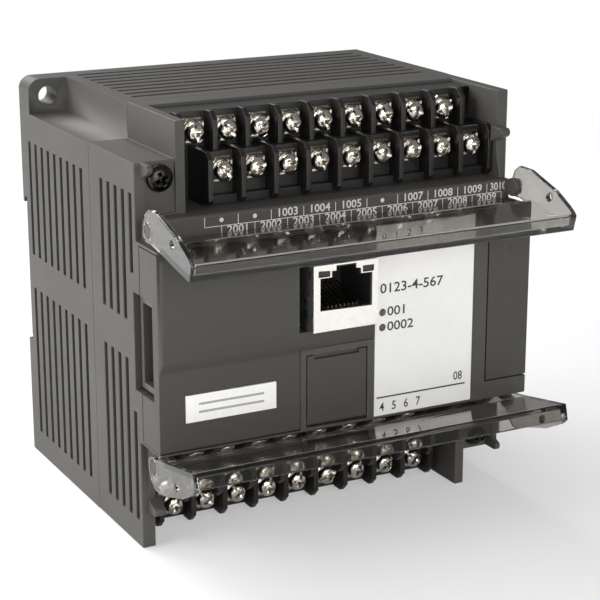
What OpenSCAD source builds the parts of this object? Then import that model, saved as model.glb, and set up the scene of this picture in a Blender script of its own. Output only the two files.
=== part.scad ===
// Expansion module for a programmable controller: a DIN-rail casing with two
// recessed screw-terminal areas, each under a hinged clear cover.
// Frame: origin at the centre of the DIN-rail seat, +Z up, front towards -Y.

/* [Casing] */
// overall width of the casing, mm
body_w = 93; // [88:1:116]
// overall height of the casing, mm
body_h = 95; // [90:1:116]
// depth from the back face to the front panel, mm
body_d = 82; // [74:1:100]
// wall thickness of the mouldings, mm
wall = 2.3; // [1.8:0.1:2.8]
// thickness of the wall at the closed end of a terminal area, mm
rim = 3; // [2.6:0.1:3.4]
// width of the two stepped-in corners, mm
notch_w = 9.5; // [9:0.5:12]
// height of the two stepped-in corners, mm
notch_h = 8.3; // [8:0.1:10]
// height of each recessed terminal area, mm
zone_h = 25.5; // [24.5:0.5:28]
// width of one ventilation slot, mm
slot_w = 1.7; // [1:0.1:2.2]
// clear width of the front panel's bulged upper part beyond the flat part, mm
bulge = 1.2; // [0.4:0.1:1.6]

/* [Mounting] */
// opening of the rail channel across the back (35 mm rail), mm
din_gap = 36.4; // [35.6:0.1:37.5]
// depth of the rail channel, mm
din_depth = 2.4; // [2.2:0.1:3]
// diameter of the two screw-mounting holes, mm
mount_hole_d = 4.5; // [3.5:0.1:5]
// thickness of the mounting flanges, mm
flange_t = 6.8; // [4:0.2:10]
// travel of the rail latch, mm
latch_travel = 3; // [2:0.5:3]

/* [Terminals] */
// distance between neighbouring terminal screws, mm
pitch = 7.9; // [7.2:0.1:8.1]
// number of screws in each row
per_row = 9; // [5:1:9]
// thickness of the barriers between terminals, mm
barrier_t = 1.2; // [0.8:0.1:1.4]
// diameter of the terminal screw head, mm
term_head_d = 4.6; // [4:0.1:5.6]
// diameter of the terminal screw thread, mm
term_thread_d = 2.9; // [2.4:0.1:3]

/* [Covers] */
// how far the open cover reaches from its hinge, mm
cover_reach = 22; // [20:0.5:24]
// thickness of the cover, mm
cover_t = 1.2; // [1:0.1:1.5]
// diameter of the cover's hinge pin, mm
hinge_pin_d = 3.2; // [2.4:0.1:3.4]
// radial clearance of the hinge pins in their holes, mm
pin_play = 0.08; // [0.02:0.01:0.1]
// gap between moving pieces and what they pass, mm
gap = 0.3; // [0.25:0.05:0.4]

/* [Front panel] */
// width of the network socket's metal shell, mm
jack_w = 16; // [15:0.1:16.4]
// height of the network socket's metal shell, mm
jack_h = 15; // [13:0.1:15.4]
// width of the white face label, mm
label_w = 25.6; // [20:0.2:27]
// height of the small hinged port door, mm
door_h = 16.4; // [14:0.2:17]
// width of the nameplate, mm
plate_w = 21.5; // [16:0.5:26]
// height of the nameplate, mm
plate_h = 6.1; // [4:0.1:9]

/* [Hidden] */
hw = body_w / 2;
zc = body_h / 2;
split_d = body_d - 37;        // rear and front casing meet here
step_d = split_d + 6.5;       // step wall behind the terminal blocks
shoulder_d = body_d - 11;     // front edge of the outer walls
cap_d = body_d - 9.5;         // seam of the front cover on the side
face_in = body_d - 2.2;       // inner face of the front wall
board_d = split_d - 3.5;      // rear face of the main board
board_t = 1.6;
fboard_d = body_d - 16;       // rear face of the front board
zb0 = zone_h;                 // bottom of the front block
zb1 = body_h - zone_h;        // top of the front block
strip = 0.6;                  // band of the front block beyond the front cover
strip_d = body_d - 7;         // upright face that carries the terminal numbers
deck_z = body_h - 20;         // floor of the upper terminal recess
in_x = -hw + notch_w + wall;  // inner side of the step-in wall
in_hi = hw - rim;             // inner side of the full-height wall
tp = min(pitch, (in_hi - in_x - barrier_t - 0.2) / (per_row + 0.5));
x_first = max(in_x + tp / 2 + barrier_t / 2 + 0.1,
  min(in_x + 6.4, in_hi - per_row * tp - barrier_t / 2 - 0.1));  // first screw of the rear row
washer_w = term_head_d + 0.2;
row_b_z = body_h - 4.9;       // rear row, upper
row_a_z = body_h - 12.6;      // front row, lower
tier_b_d = step_d + 7.7;      // contact plane of the rear row
tier_a_d = step_d + 13.7;     // contact plane of the front row
tier_z = body_h - 8.7;        // top of the front tier
hinge_d = body_d - 4.5;
hinge_z = body_h - 21.4;
ear_d = 4.2;                  // hinge ears on the shelf ends
ear_w = 1.2;
open_deg = 107;               // swing of a cover from open to closed
peg_d = hinge_d - 3.7;          // catch centre
peg_r = 1;
peg_z = body_h - notch_h - peg_r;
peg_rel = peg_z - hinge_z;      // catch height above the hinge, cover closed
end_x = hw - 1.5;             // shelf ends; cover end plates run outside them
screw_x = -hw + 6;
screw_z = body_h - 12;
flange_hx = -hw + notch_w / 2;
flange_hz = body_h - notch_h / 2;
split_x = -13;                // edge of the L-shaped front cover
split_x2 = 5;
name_w = min(plate_w, split_x + hw - 7);
door_x0 = -11.3;
door_x1 = 3.5;
door_t = 1.7;
door_hz = zb0 + 1.4;          // door hinge height
door_hd = body_d - 0.9;
split_z = zb0 + door_h + 2.1;
jack_cx = -3.9;
jack_z0 = split_z + 4.8;
jack_d0 = fboard_d + board_t;
jack_d1 = body_d + 4;
label_x0 = 5.6;
exp_x = hw - 11.4;
face_w = min(label_w, exp_x - 2.3 - label_x0);
exp_z0 = zb0 + 3.8;
exp_z1 = zb1 - 3.8;
port_d0 = body_d - 13;
port_d1 = body_d - 3;
port_z0 = zc - 11;
port_z1 = zc + 11;
led_x = label_x0 + 1.9;
led_d = 1.4;                  // light pipes
led_z = [zc + 2.4, zc - 1.1];
post_z = 8;
posts = [[x_first + tp * 0.5, body_h - post_z], [x_first + tp * (per_row - 1.5), body_h - post_z],
  [-x_first - tp * 0.5, post_z], [-x_first - tp * (per_row - 1.5), post_z]];
latch_z = latch_travel + 1;       // lower end of the latch
slot_first = 6;
slot_n = 9;
slot_p = (split_d - 5 - slot_first) / (slot_n - 1);
fslot_first = split_d + 7;
fslot_p = (shoulder_d - 2.6 - fslot_first) / 4;
dip_x = jack_cx;
dip_z = zb0 + 8;
dip_d = fboard_d + board_t + 9.4;
dip_p = 2.54;
bus_x = hw - 9.3;

// ---- placing helpers: x across, d depth from the back face, z from the base
module row() { translate([0, din_depth, -zc]) children(); }
module flip() { translate([0, 0, body_h]) rotate([0, 180, 0]) children(); }
module both() { children(); flip() children(); }
module box(x0, x1, d0, d1, z0, z1) {
  translate([x0, -d1, z0]) cube([x1 - x0, d1 - d0, z1 - z0]);
}
module rod_d(x, z, d0, d1, dia, fn = 48) {
  translate([x, -d0, z]) rotate([90, 0, 0]) cylinder(d = dia, h = d1 - d0, $fn = fn);
}
module cone_d(x, z, d0, d1, dia0, dia1, fn = 48) {
  translate([x, -d0, z]) rotate([90, 0, 0]) cylinder(d1 = dia0, d2 = dia1, h = d1 - d0, $fn = fn);
}
module rod_x(x0, x1, d, z, dia, fn = 48) {
  translate([x0, -d, z]) rotate([0, 90, 0]) cylinder(d = dia, h = x1 - x0, $fn = fn);
}
// profile drawn in (depth, z), drawn out along x
module prof(x0, x1) {
  translate([x1, 0, 0]) rotate([90, 0, -90]) linear_extrude(height = x1 - x0) children();
}
// stepped outline of the casing seen from the front, shrunk by i
module outline(d0, d1, i) {
  translate([0, -d0, 0]) rotate([90, 0, 0]) linear_extrude(height = d1 - d0)
    polygon([[-hw + i, i], [hw - notch_w - i, i], [hw - notch_w - i, notch_h + i],
      [hw - i, notch_h + i], [hw - i, body_h - i], [-hw + notch_w + i, body_h - i],
      [-hw + notch_w + i, body_h - notch_h - i], [-hw + i, body_h - notch_h - i]]);
}
// pan-head screw with a cross recess; the head's underside is at depth d
module pan_screw(x, z, d, head_d, head_h, thread_d, len) {
  difference() {
    union() {
      rod_d(x, z, d - len, d + 0.01, thread_d, 24);
      rod_d(x, z, d, d + head_h * 0.6, head_d);
      cone_d(x, z, d + head_h * 0.6, d + head_h, head_d, head_d * 0.72);
    }
    box(x - head_d * 0.3, x + head_d * 0.3, d + head_h * 0.35, d + head_h + 1, z - 0.4, z + 0.4);
    box(x - 0.4, x + 0.4, d + head_h * 0.35, d + head_h + 1, z - head_d * 0.3, z + head_d * 0.3);
  }
}

// ---- casing mouldings
module flange() {
  difference() {
    translate([0, 0, 0]) rotate([90, 0, 0]) linear_extrude(height = flange_t) union() {
      translate([-hw, body_h - notch_h - 0.01]) square([notch_w + 0.01, notch_h - 3 + 0.01]);
      translate([-hw + 3, body_h - 4]) square([notch_w - 3 + 0.01, 4]);
      translate([-hw + 3, body_h - 3]) circle(r = 3, $fn = 48);
    }
    rod_d(flange_hx, flange_hz, -1, flange_t + 1, mount_hole_d);
  }
}
module rear_slots() {
  for (i = [0 : slot_n - 1]) {
    d = slot_first + i * slot_p;
    box(-hw - 1, -hw + wall + 0.01, d - slot_w / 2, d + slot_w / 2, 6, zc - 3.9);
    box(-hw - 1, -hw + wall + 0.01, d - slot_w / 2, d + slot_w / 2, zc + 4.5, body_h - 15);
    box(in_x + 1, in_hi - 1, d - slot_w / 2, d + slot_w / 2, body_h - wall - 0.01, body_h + 1);
  }
}
module rear_casing() {
  color("#4d4a45") row() {
    difference() {
      union() {
        outline(0, split_d, 0);
        both() flange();
      }
      difference() {
        outline(5, split_d + 1, wall);
        both() rod_d(screw_x, screw_z, 4, split_d + 2, 6.8);
        for (p = posts) rod_d(p[0], p[1], 4, board_d, 6);
      }
      both() rod_d(screw_x, screw_z, split_d - 9, split_d + 1, 3);
      for (p = posts) rod_d(p[0], p[1], board_d - 9, board_d + 1, 2.5, 24);
      // rail channel with a fixed lip along its top edge
      difference() {
        box(-hw - 1, hw + 1, -1, din_depth, zc - din_gap / 2, zc + din_gap / 2);
        box(-hw - 2, hw + 2, 0, din_depth - 1.3, zc + din_gap / 2 - 1.4, zc + din_gap / 2 + 1);
      }
      // reliefs under the lip and behind the latch's nose, clear of the rail's edges
      box(-hw - 1, hw + 1, din_depth - 1.3, din_depth + 0.2, zc + din_gap / 2 - 1.5, zc + din_gap / 2);
      box(-hw - 1, hw + 1, din_depth - 1.3, din_depth + 0.2, zc - din_gap / 2, zc - din_gap / 2 + 1.5);
      // latch channel below it
      box(-9.3, 9.3, -1, 1.8, -1, zc - din_gap / 2 + 0.01);
      box(-11.3, 11.3, 1.2, 2.9, 8 - latch_travel - gap, 27 + gap);
      // shallow relief inside the back wall
      box(-38, 38, 3, 5.01, 30, zc - din_gap / 2 - 1.5);
      both() rear_slots();
    }
  }
}
module front_slots() {
  for (i = [0 : 4]) {
    d = fslot_first + i * fslot_p;
    box(-hw - 1, -hw + wall + 0.01, d - slot_w / 2, d + slot_w / 2, 6, i < 4 ? zc - 5 : zc - 16.2);
    box(-hw - 1, -hw + wall + 0.01, d - slot_w / 2, d + slot_w / 2, i < 4 ? zc + 3.8 : zc + 15.1, body_h - 15);
  }
}
// one end of the front casing (upper terminal side); the other is its half-turn copy
module end_outer() {
  // shelf in front of the terminals, with an upright face for their numbers
  prof(-end_x, end_x) polygon([[shoulder_d - 0.01, zb1 - 1], [strip_d, zb1 - 1],
    [strip_d, deck_z - 0.4], [strip_d - 0.4, deck_z], [shoulder_d - 0.01, deck_z]]);
  for (s = [-1, 1]) {
    // hinge ear and hinge pin
    rod_x(s > 0 ? end_x - ear_w : -end_x, s > 0 ? end_x : -end_x + ear_w, hinge_d, hinge_z, ear_d);
    prof(s > 0 ? end_x - ear_w : -end_x, s > 0 ? end_x : -end_x + ear_w)
      polygon([[strip_d - 0.4, hinge_z - ear_d / 2 + 0.2], [hinge_d, hinge_z - ear_d / 2 + 0.2], [hinge_d + 1, hinge_z + 1],
        [hinge_d, deck_z], [strip_d - 0.4, deck_z]]);
    rod_x(s > 0 ? end_x - 1 : -hw, s > 0 ? hw : -end_x + 1, hinge_d, hinge_z, hinge_pin_d);
  }
}
// catches on the wall edges that the closed cover snaps over
module catches() {
  for (w = [[-end_x, -end_x + 1.3, shoulder_d - 1.5], [in_hi - 0.01, end_x, shoulder_d - 1.5], [end_x - 2.6, in_hi, shoulder_d - 0.6]])
    prof(w[0], w[1]) {
      translate([peg_d, peg_z]) circle(r = peg_r, $fn = 48);
      polygon([[w[2], peg_z + peg_r], [peg_d, peg_z + peg_r], [peg_d + peg_r * 0.7071, peg_z - peg_r * 0.7071],
        [shoulder_d, peg_z - 2.4], [w[2], peg_z - 2.4]]);
    }
  // flared front edge of the full-height wall
  prof(in_hi, end_x) polygon([[shoulder_d - 1, deck_z - 0.5], [shoulder_d + 2.4, deck_z - 0.5], [shoulder_d + 1.9, deck_z + 1.2],
    [shoulder_d + 1.1, deck_z + 3.6], [shoulder_d + 0.5, deck_z + 6], [shoulder_d + 0.15, deck_z + 8.2],
    [shoulder_d, deck_z + 9.6], [shoulder_d - 1, deck_z + 9.6]]);
}
module end_cut() {
  // recess for the terminal block, open to the front and to the top
  box(in_x, in_hi, step_d, body_d + 5, deck_z, body_h + 1);
  // column beside it, behind the casing screw's seat
  box(-hw + wall, -hw + notch_w, split_d - 1, shoulder_d - 2.8, deck_z - 2.5, body_h - notch_h - wall);
  box(-hw + wall, -hw + notch_w, shoulder_d - 0.8, shoulder_d + 2, deck_z + 0.3, body_h - notch_h + 0.01);
  // slots for the terminal pins
  box(x_first - 2, in_hi - 1, split_d, step_d + 1, row_b_z - 3.4, row_b_z - 1.4);
  box(x_first + 1, in_hi - 1, split_d, step_d + 1, row_a_z - 3.4, row_a_z - 1.4);
  // relief under the label shelf
  box(-end_x + 3, end_x - 3, shoulder_d - 2, strip_d - 1.8, zb1 - 2.1, deck_z - 3.4);
  front_slots();
}
module front_casing() {
  color("#4a4742") row() union() {
    both() catches();
    difference() {
      union() {
        outline(split_d, shoulder_d, 0);
        prof(-hw, hw) polygon([[shoulder_d - 0.01, zb0 - strip], [body_d - 0.4, zb0 - strip], [body_d, zb0 - strip / 2],
          [body_d, zb1 + strip / 2], [body_d - 0.4, zb1 + strip], [shoulder_d - 0.01, zb1 + strip]]);
        both() end_outer();
      }
      difference() {
        union() {
          outline(split_d - 1, step_d - 2, wall);
          box(-hw + wall, hw - wall, split_d - 1, shoulder_d - 2, body_h - deck_z + 2, deck_z - 2);
          box(-hw + wall, hw - wall, shoulder_d - 2.1, face_in, zb0 + 2, zb1 - 2);
        }
        // floor and inner wall of the expansion-port pocket
        box(exp_x - 1.5, hw, cap_d - 2.2, cap_d - 0.2, zb0, zb1);
        box(exp_x - 1.5, exp_x, cap_d - 2.2, body_d, zb0, zb1);
        box(exp_x - 1.5, hw, cap_d - 2.2, body_d, zb0, exp_z0);
        box(exp_x - 1.5, hw, cap_d - 2.2, body_d, exp_z1, zb1);
        // ribs along the edge of the front cover
        box(split_x, split_x + 1.2, body_d - 8, body_d, zb0, split_z);
        box(split_x, split_x2 + 1.4, body_d - 8, body_d, split_z - 1.2, split_z);
        box(split_x2 + 0.2, split_x2 + 1.4, body_d - 8, body_d, split_z - 1.2, zb1);
        // posts and lugs for the front board
        for (z = [zb0 + 5, zb1 - 5]) {
          rod_d(20, z, fboard_d + board_t, body_d, 5);
          box(-hw + wall - 0.01, -hw + wall + 5.6, fboard_d + board_t, cap_d - 0.2, z - 2.6, z + 2.6);
        }
        // casing-screw columns
        both() rod_d(screw_x, screw_z, split_d, shoulder_d, 6.8);
      }
      both() end_cut();
      both() rod_d(screw_x, screw_z, split_d - 1, shoulder_d + 1, 3.2);
      for (z = [zb0 + 5, zb1 - 5]) {
        rod_d(20, z, fboard_d, fboard_d + board_t + 6, 2.5, 24);
        rod_d(-hw + wall + 3, z, fboard_d, fboard_d + board_t + 3.8, 2.5, 24);
      }
      // seat of the L-shaped front cover
      box(-hw - 1, split_x, face_in, body_d + 5, zb0, zb1);
      box(-hw - 1, split_x2 + 0.2, face_in, body_d + 5, split_z, zb1);
      box(-hw - 1, -hw + wall, cap_d, body_d + 5, zb0, zb1);
      // expansion-port pocket and header window
      box(exp_x, hw + 1, cap_d - 0.2, body_d + 1, exp_z0, exp_z1);
      box(bus_x - 0.4, bus_x + 6.2, cap_d - 4, cap_d, zc - 16, zc + 16);
      // side window of the bus socket
      box(-hw - 1, -hw + wall + 1, port_d0, cap_d + 1, port_z0, port_z1);
      // door opening and its hinge holes
      box(door_x0 - gap, door_x1 + gap, face_in - 2, body_d + 1, door_hz - door_t / 2 - gap, zb0 + 0.5 + door_h + gap);
      rod_x(door_x0 - 1.1, door_x1 + 1.1, door_hd, door_hz, 1.2 + 2 * pin_play, 24);
      // label recess and light-pipe holes
      box(label_x0 - 0.1, label_x0 + face_w + 0.1, body_d - 0.4, body_d + 1, zb0 + 0.1, zb1 - 0.1);
      for (z = led_z) rod_d(led_x, z, face_in - 1, body_d + 1, led_d + 0.3, 24);
    }
  }
}
module front_cover() {
  color("#46433f") row() difference() {
    union() {
      prof(-hw, split_x - 0.2) polygon([[face_in, zb0 + 0.2], [body_d - 0.3, zb0 + 0.2], [body_d, zb0 + 0.5],
        [body_d, split_z - 0.6], [body_d + bulge * 0.35, split_z + 0.2], [body_d + bulge * 0.8, split_z + 1.8],
        [body_d + bulge, split_z + 4.6], [body_d + bulge, zb1 - 3], [body_d + bulge * 0.7, zb1 - 1.2],
        [body_d, zb1 - 0.2], [face_in, zb1 - 0.2]]);
      prof(split_x - 0.3, split_x2) polygon([[face_in, split_z + 0.2], [body_d + bulge * 0.35, split_z + 0.2],
        [body_d + bulge * 0.8, split_z + 1.8], [body_d + bulge, split_z + 4.6], [body_d + bulge, zb1 - 3],
        [body_d + bulge * 0.7, zb1 - 1.2], [body_d, zb1 - 0.2], [face_in, zb1 - 0.2]]);
      box(-hw, -hw + wall - 0.3, cap_d + 0.2, face_in + 0.1, zb0 + 0.2, zb1 - 0.2);
      // snap tabs reaching behind the casing's edges
      for (x = [-38, -24]) {
        box(x, x + 6, body_d - 7, face_in + 0.1, zb1 - 3.2, zb1 - 2);
        box(x, x + 6, body_d - 7, face_in + 0.1, zb0 + 2, zb0 + 3.2);
      }
    }
    // rounded left edge
    difference() {
      box(-hw - 1, -hw + 1.5, body_d - 1.5 + bulge, body_d + 3, zb0 - 1, zb1 + 1);
      translate([-hw + 1.5, -(body_d - 1.5 + bulge), zb0 - 2]) cylinder(r = 1.5, h = zb1 - zb0 + 4, $fn = 48);
    }
    // window of the network socket, open at its right edge
    box(jack_cx - jack_w / 2 - 2, split_x2 + 1, face_in - 1, body_d + 4, jack_z0 - 0.4, jack_z0 + jack_h + 0.4);
    // side window of the bus socket
    box(-hw - 1, -hw + wall + 1, cap_d - 1, port_d1, port_z0, port_z1);
    // nameplate recess
    box(-hw + 5.9, -hw + 6.1 + name_w, body_d - 0.4, body_d + 1, zb0 + 6.3, zb0 + 6.5 + plate_h);
  }
}
module nameplate() {
  color("#f2f1ee") row() box(-hw + 6, -hw + 6 + name_w, body_d - 0.4, body_d + 0.15, zb0 + 6.4, zb0 + 6.4 + plate_h);
}
module face_label() {
  color("#e6e5e2") row() difference() {
    box(label_x0, label_x0 + face_w, body_d - 0.4, body_d + 0.1, zb0 + 0.2, zb1 - 0.2);
    for (z = led_z) rod_d(led_x, z, body_d - 1, body_d + 1, led_d + 0.3, 24);
  }
}
module status_leds() {
  color("#2d3a2e") row() for (z = led_z) {
    rod_d(led_x, z, fboard_d + board_t, body_d + 0.15, led_d, 24);
    box(led_x - 1.4, led_x + 1.4, fboard_d + board_t, fboard_d + board_t + 2, z - 1.4, z + 1.4);
  }
}
module port_door() {
  color("#45423d") row() difference() {
    union() {
      box(door_x0, door_x1, door_hd - door_t / 2, door_hd + door_t / 2, door_hz, zb0 + 0.5 + door_h);
      rod_x(door_x0, door_x1, door_hd, door_hz, door_t, 32);
      rod_x(door_x0 - 0.9, door_x1 + 0.9, door_hd, door_hz, 1.2, 24);
    }
    // finger slot along the top edge
    box(door_x0 + 1.8, door_x1 - 1.8, door_hd - 0.1, body_d + 1, zb0 - 0.4 + door_h, zb0 + 2 + door_h);
  }
}
module expansion_port_cover() {
  color("#45423d") row() difference() {
    box(exp_x + gap, hw, cap_d + 0.1, body_d, exp_z0 + gap, exp_z1 - gap);
    box(exp_x + gap + 1.4, hw - 1.4, cap_d, body_d - 1.5, exp_z0 + gap + 1.4, exp_z1 - gap - 1.4);
    // thumb mark
    for (s = [-1, 1]) translate([hw - 5.6 + s * 0.45, -(body_d + 1), exp_z1 - 5]) rotate([0, s * 28, 0])
      translate([-0.15, 0, -1]) cube([0.3, 1.2, 2]);
  }
}

// ---- bus connectors at the two sides
module bus_socket_left() {
  color("#2a2927") row() union() {
    difference() {
      box(-hw + 1.4, -hw + 9, port_d0 + 0.4, port_d1 - 0.6, port_z0 + 0.6, port_z1 - 0.6);
      box(-hw, -hw + 7.4, port_d0 + 1.8, port_d1 - 2, port_z0 + 2, port_z1 - 2);
    }
    box(-hw + 4, -hw + 9, fboard_d + board_t, port_d0 + 0.5, port_z0 + 2, port_z1 - 2);
    box(-hw + 2.4, -hw + 7.5, port_d0 + 4.3, port_d0 + 5.1, port_z0 + 3, port_z1 - 3);
  }
}
module bus_header_right() {
  color("#2a2927") row() {
    difference() {
      box(bus_x, bus_x + 5.8, fboard_d + board_t, body_d - 3.5, zc - 15.5, zc + 15.5);
      box(bus_x + 0.9, bus_x + 4.9, fboard_d + board_t + 2.5, body_d, zc - 14.6, zc + 14.6);
    }
    for (i = [0 : 9], s = [-1, 1])
      box(bus_x + 2.9 + s * 1.27 - 0.32, bus_x + 2.9 + s * 1.27 + 0.32, fboard_d + board_t + 2.4, body_d - 5,
        zc - 11.43 + i * 2.54 - 0.32, zc - 11.43 + i * 2.54 + 0.32);
  }
}

// ---- circuit boards
module main_board() {
  color("#1f4a33") row() difference() {
    outline(board_d, board_d + board_t, wall + 0.4);
    both() box(-hw, screw_x + 4.2, board_d - 1, board_d + 3, screw_z - 4.2, body_h);
    for (p = posts) rod_d(p[0], p[1], board_d - 1, board_d + 3, 2.7, 24);
  }
}
module front_board() {
  color("#1f4a33") row() difference() {
    box(-hw + wall + 0.6, hw - wall - 0.6, fboard_d, fboard_d + board_t, zb0 + 2.4, zb1 - 2.4);
    for (z = [zb0 + 5, zb1 - 5]) {
      rod_d(20, z, fboard_d - 1, fboard_d + 3, 2.7, 24);
      rod_d(-hw + wall + 3, z, fboard_d - 1, fboard_d + 3, 2.7, 24);
    }
  }
}
module board_link() {
  color("#1c1b1a") row() union() {
    box(-30, -2, board_d + board_t, board_d + board_t + 9, zc + 8, zc + 13);
    box(-29, -3, board_d + board_t + 8.9, fboard_d - 2.5, zc + 8.9, zc + 12.1);
    box(-30, -2, fboard_d - 2.6, fboard_d, zc + 8, zc + 13);
  }
}
module dc_converter() {
  color("#26282b") row() {
    box(-34, -4, board_d - 12, board_d, zc - 32, zc - 10);
    box(6, 22, board_d - 9, board_d, zc - 30, zc - 16);
  }
}
module capacitors() {
  color("#20242c") row() for (p = [[-24, 18, 10], [-11, 18, 10], [2, 18, 8]]) difference() {
    rod_d(p[0], zc + p[1], board_d - 16, board_d, p[2]);
    difference() {
      rod_d(p[0], zc + p[1], board_d - 3, board_d - 2, p[2] + 2);
      rod_d(p[0], zc + p[1], board_d - 4, board_d - 1, p[2] - 1);
    }
  }
}
module main_board_chips() {
  color("#191a1b") row() {
    for (i = [0 : 4]) box(12 + i * 6, 16.5 + i * 6, board_d - 3.4, board_d, zc + 6, zc + 16);
    box(10, 24, board_d - 2, board_d, zc - 8, zc + 2);
    box(28, 36, board_d - 2, board_d, zc - 10, zc - 2);
    box(6, 20, board_d + board_t, board_d + board_t + 2, zc - 6, zc + 4);
  }
}
module front_board_chips() {
  color("#191a1b") row() {
    box(-34, -22, jack_d0, jack_d0 + 1.5, zc - 16, zc - 4);
    box(-33, -25, jack_d0, jack_d0 + 1.8, zc + 4, zc + 14);
    box(-21, -16, jack_d0, jack_d0 + 3.5, zc + 2, zc + 13);
    box(14, 24, jack_d0, jack_d0 + 1.6, zc - 8, zc + 2);
  }
}
module main_board_screws() {
  color("#b9b6ae") row() for (p = posts) pan_screw(p[0], p[1], board_d + board_t, 4.6, 1.6, 2.4, 8);
}
module front_board_screws() {
  color("#b9b6ae") row() for (z = [zb0 + 5, zb1 - 5], x = [20, -hw + wall + 3])
    translate([2 * x, -2 * fboard_d, 0]) rotate([0, 0, 180]) pan_screw(x, z, -fboard_d + 2 * fboard_d, 4.6, 1.6, 2.4, 4.6);
}

// ---- network socket
module jack_shell() {
  color("#c9c6bf") row() difference() {
    box(jack_cx - jack_w / 2, jack_cx + jack_w / 2, jack_d0, jack_d1, jack_z0, jack_z0 + jack_h);
    box(jack_cx - jack_w / 2 + 0.4, jack_cx + jack_w / 2 - 0.4, jack_d0 - 1, jack_d1 - 0.4, jack_z0 + 0.4, jack_z0 + jack_h - 0.4);
    box(jack_cx - jack_w / 2 + 1.6, jack_cx + jack_w / 2 - 1.6, jack_d1 - 1, jack_d1 + 1, jack_z0 + 4.7, jack_z0 + jack_h - 2.9);
    box(jack_cx - 3.6, jack_cx + 3.6, jack_d1 - 1, jack_d1 + 1, jack_z0 + 6, jack_z0 + jack_h - 1.6);
    box(jack_cx - 2.45, jack_cx + 2.45, jack_d1 - 1, jack_d1 + 1, jack_z0 + 6, jack_z0 + jack_h - 0.45);
    for (s = [-1, 1]) box(jack_cx + s * 5.4 - 1.4, jack_cx + s * 5.4 + 1.4, jack_d1 - 1, jack_d1 + 1,
      jack_z0 + jack_h - 2.7, jack_z0 + jack_h - 1.3);
  }
}
module jack_insert() {
  color("#141413") row() difference() {
    box(jack_cx - jack_w / 2 + 0.4, jack_cx + jack_w / 2 - 0.4, jack_d0, jack_d1 - 0.4, jack_z0 + 0.4, jack_z0 + jack_h - 0.4);
    box(jack_cx - jack_w / 2 + 1.8, jack_cx + jack_w / 2 - 1.8, jack_d0 + 4.4, jack_d1, jack_z0 + 4.8, jack_z0 + jack_h - 3);
    box(jack_cx - 3.5, jack_cx + 3.5, jack_d0 + 8, jack_d1, jack_z0 + 6, jack_z0 + jack_h - 1.7);
    box(jack_cx - 2.35, jack_cx + 2.35, jack_d0 + 8, jack_d1, jack_z0 + 6, jack_z0 + jack_h - 0.8);
    for (s = [-1, 1]) box(jack_cx + s * 5.4 - 1.4, jack_cx + s * 5.4 + 1.4, jack_d1 - 2, jack_d1,
      jack_z0 + jack_h - 2.7, jack_z0 + jack_h - 1.3);
  }
}
module jack_contacts() {
  color("#c9a24a") row() for (i = [0 : 7])
    prof(jack_cx - 3.57 + i * 1.02 - 0.2, jack_cx - 3.57 + i * 1.02 + 0.2)
      polygon([[jack_d1 - 1.8, jack_z0 + 4.8], [jack_d1 - 1.8, jack_z0 + 5.15], [jack_d0 + 7.4, jack_z0 + 7.9],
        [jack_d0 + 4.4, jack_z0 + 7.9], [jack_d0 + 4.4, jack_z0 + 7.55], [jack_d0 + 7.4, jack_z0 + 7.55]]);
}
module jack_leds() {
  color("#7d8f5a") row() for (s = [-1, 1])
    box(jack_cx + s * 5.4 - 1.4, jack_cx + s * 5.4 + 1.4, jack_d1 - 2, jack_d1 - 0.5, jack_z0 + jack_h - 2.7, jack_z0 + jack_h - 1.3);
}

// ---- setting switch behind the port door
module dip_switch() {
  color("#8e2b22") row() difference() {
    box(dip_x - 5.45, dip_x + 5.45, fboard_d + board_t, dip_d, dip_z - 3.1, dip_z + 3.1);
    for (i = [0 : 3]) box(dip_x + (i - 1.5) * dip_p - 0.75, dip_x + (i - 1.5) * dip_p + 0.75, dip_d - 1.5, dip_d + 1, dip_z - 1.8, dip_z + 1.8);
  }
}
module slider(i) {
  color("#e9e7e0") row() box(dip_x + (i - 1.5) * dip_p - 0.45, dip_x + (i - 1.5) * dip_p + 0.45, dip_d - 1.2, dip_d + 0.9, dip_z - 1.5, dip_z + 0.2);
}
module dip_slider_1() { slider(0); }
module dip_slider_2() { slider(1); }
module dip_slider_3() { slider(2); }
module dip_slider_4() { slider(3); }

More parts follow.
